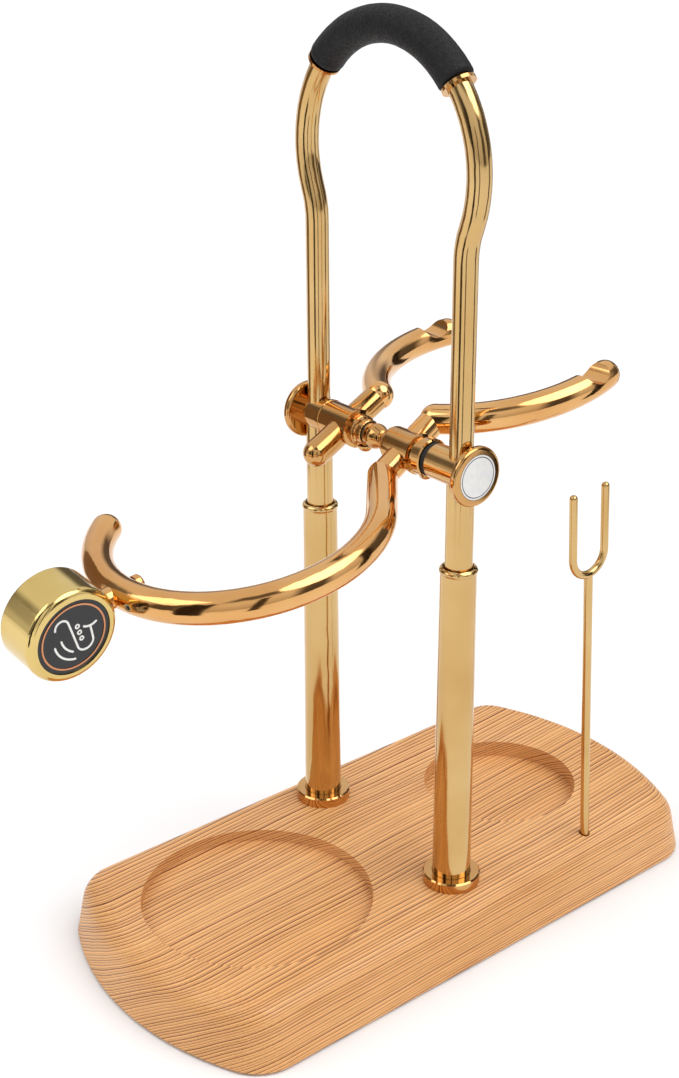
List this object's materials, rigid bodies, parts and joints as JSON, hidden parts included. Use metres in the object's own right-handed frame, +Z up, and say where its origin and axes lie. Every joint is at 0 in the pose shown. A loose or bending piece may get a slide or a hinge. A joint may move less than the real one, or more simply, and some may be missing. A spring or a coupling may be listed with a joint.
{
  "type": "saxophone stand",
  "caption": "Saxophone stand: wood base board, telescopic brass posts, lyre-shaped padded loop, curved tilting arms with a round medallion, and a forked rest.",
  "frame": {"origin": "on the underside of the base, midway between the two posts", "axes": "+Z up, X along the crossbar from post to post, +Y along the board away from the front arm"},
  "size_m": [0.159, 0.3653, 0.4433],
  "materials": {
    "wood": "satin lacquered softwood with straight grain",
    "pale_brass": "polished and lacquered, pale",
    "gold_brass": "polished and lacquered, deep gold",
    "grip_skin": "fine pebbled, semi-matt",
    "pearl": "pearl white, polished",
    "black_fibre": "matt fibre",
    "black_enamel": "gloss enamel",
    "copper_line": "satin copper gold",
    "white_line": "gloss enamel",
    "steel": "zinc plated",
    "pad_rubber": "matt",
    "guide_plastic": "low friction plastic"
  },
  "bodies": {
    "base": {"base_board": "wood", "underside_pad": "pad_rubber", "post_bolts": "steel", "bolt_washers": "steel", "post_plugs": "steel", "guide_bushes": "guide_plastic", "post_flange_left": "gold_brass", "post_flange_right": "gold_brass", "lower_tube_left": "pale_brass", "lower_tube_right": "pale_brass", "fork_socket": "gold_brass"},
    "mast": {"upper_tube_left": "pale_brass", "upper_tube_right": "pale_brass", "glide_rings": "guide_plastic", "barrel_left": "gold_brass", "barrel_right": "gold_brass", "end_cap_left": "gold_brass", "end_cap_right": "gold_brass", "inlay_left": "pearl", "inlay_right": "pearl", "lyre_loop": "pale_brass", "grip_sleeve": "grip_skin", "grip_rings": "gold_brass", "right_washer": "black_fibre"},
    "left_arm": {"left_sleeve": "gold_brass", "left_shank": "gold_brass", "left_back_arm": "gold_brass", "centre_link": "gold_brass", "left_washer": "black_fibre"},
    "left_clamp": {"left_clamp_screw": "gold_brass"},
    "right_arm": {"right_sleeve": "gold_brass", "right_shank": "gold_brass", "right_back_arm": "gold_brass", "front_arm": "gold_brass", "grub_screw": "steel", "medallion_screw": "gold_brass", "medallion_nut": "steel", "medallion_spacer": "gold_brass"},
    "right_clamp": {"right_clamp_screw": "gold_brass"},
    "medallion": {"medallion_housing": "gold_brass", "medallion_back_plate": "gold_brass", "medallion_face": "black_enamel", "medallion_ring": "copper_line", "medallion_emblem": "white_line"},
    "fork": {"rest_fork": "gold_brass"}
  },
  "joints": [
    {"name": "height_slide", "type": "slide", "parent": "base", "child": "mast", "axis": [0, 0, 1], "range_m": [-0.031, 0.07]},
    {"name": "left_arm_pivot", "type": "hinge", "parent": "mast", "child": "left_arm", "pos_m": [0, 0, 0.2478], "axis": [1, 0, 0], "range_deg": [-60, 45]},
    {"name": "right_arm_pivot", "type": "hinge", "parent": "mast", "child": "right_arm", "pos_m": [0, 0, 0.2478], "axis": [1, 0, 0], "range_deg": [-60, 40]},
    {"name": "left_clamp_turn", "type": "hinge", "parent": "left_arm", "child": "left_clamp", "pos_m": [-0.0162, 0, 0.2478], "axis": [0, -0.1063, 0.9943], "range_deg": [0, 360]},
    {"name": "right_clamp_turn", "type": "hinge", "parent": "right_arm", "child": "right_clamp", "pos_m": [0.0254, 0, 0.2478], "axis": [0, -0.184, 0.9829], "range_deg": [0, 360]},
    {"name": "medallion_swivel", "type": "hinge", "parent": "right_arm", "child": "medallion", "pos_m": [-0.00264, -0.14635, 0.21384], "axis": [0.0087, -0.9845, -0.1754], "range_deg": [-90, 90]},
    {"name": "fork_lift", "type": "slide", "parent": "base", "child": "fork", "axis": [0, -0.0558, 0.9984], "range_m": [0, 0.016]}
  ]
}
